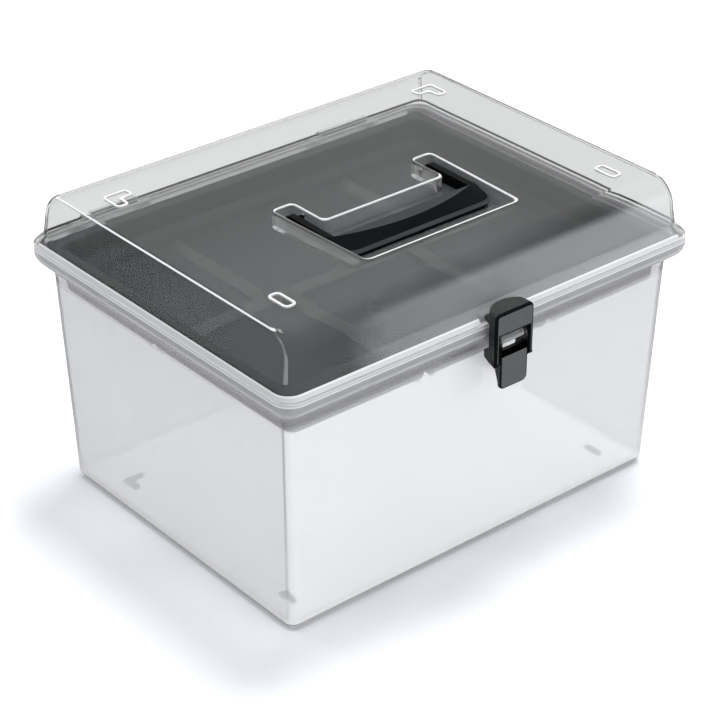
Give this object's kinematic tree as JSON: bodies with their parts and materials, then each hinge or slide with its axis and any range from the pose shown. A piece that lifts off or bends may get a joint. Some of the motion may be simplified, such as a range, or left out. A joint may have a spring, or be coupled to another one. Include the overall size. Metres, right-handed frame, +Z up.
{
  "type": "portable file box",
  "caption": "Clear tapered plastic box for papers, with a smoky lift-out tray, a domed rear-hinged lid, a fold-down carry handle sunk into the lid and a front draw latch.",
  "frame": {"origin": "on the table under the middle of the box", "axes": "+X along the long side to the right, -Y towards the latch at the front, +Z up"},
  "size_m": [0.337, 0.294, 0.2145],
  "materials": {
    "clear_plastic": "clear, polished",
    "smoke_plastic": "smoky, translucent",
    "black_plastic": "polished",
    "grey_plastic": "satin gloss"
  },
  "bodies": {
    "box": {"box": "clear_plastic"},
    "tray": {"tray": "smoke_plastic"},
    "lid": {"lid": "clear_plastic"},
    "carry_handle": {"carry_handle": "black_plastic"},
    "latch_lever": {"latch_lever": "grey_plastic"},
    "latch_hook": {"latch_hook": "grey_plastic"}
  },
  "joints": [
    {"name": "lid_hinge", "type": "hinge", "parent": "box", "child": "lid", "pos_m": [0, 0.142, 0.1695], "axis": [-1, 0, 0], "range_deg": [0, 105]},
    {"name": "latch_lever_hinge", "type": "hinge", "parent": "box", "child": "latch_lever", "pos_m": [0, -0.142, 0.1645], "axis": [-1, 0, 0], "range_deg": [0, 120]},
    {"name": "latch_hook_hinge", "type": "hinge", "parent": "latch_lever", "child": "latch_hook", "pos_m": [0, -0.141, 0.1545], "axis": [-1, 0, 0], "range_deg": [-120, 0]},
    {"name": "handle_hinge", "type": "hinge", "parent": "lid", "child": "carry_handle", "pos_m": [0, -0.003, 0.2075], "axis": [-1, 0, 0], "range_deg": [0, 125]},
    {"name": "tray_lift", "type": "slide", "parent": "box", "child": "tray", "axis": [0, 0, 1], "range_m": [0, 0.006]}
  ],
  "couplings": [
    {"joint": "latch_hook_hinge", "follows": "latch_lever_hinge", "ratio": -1}
  ]
}
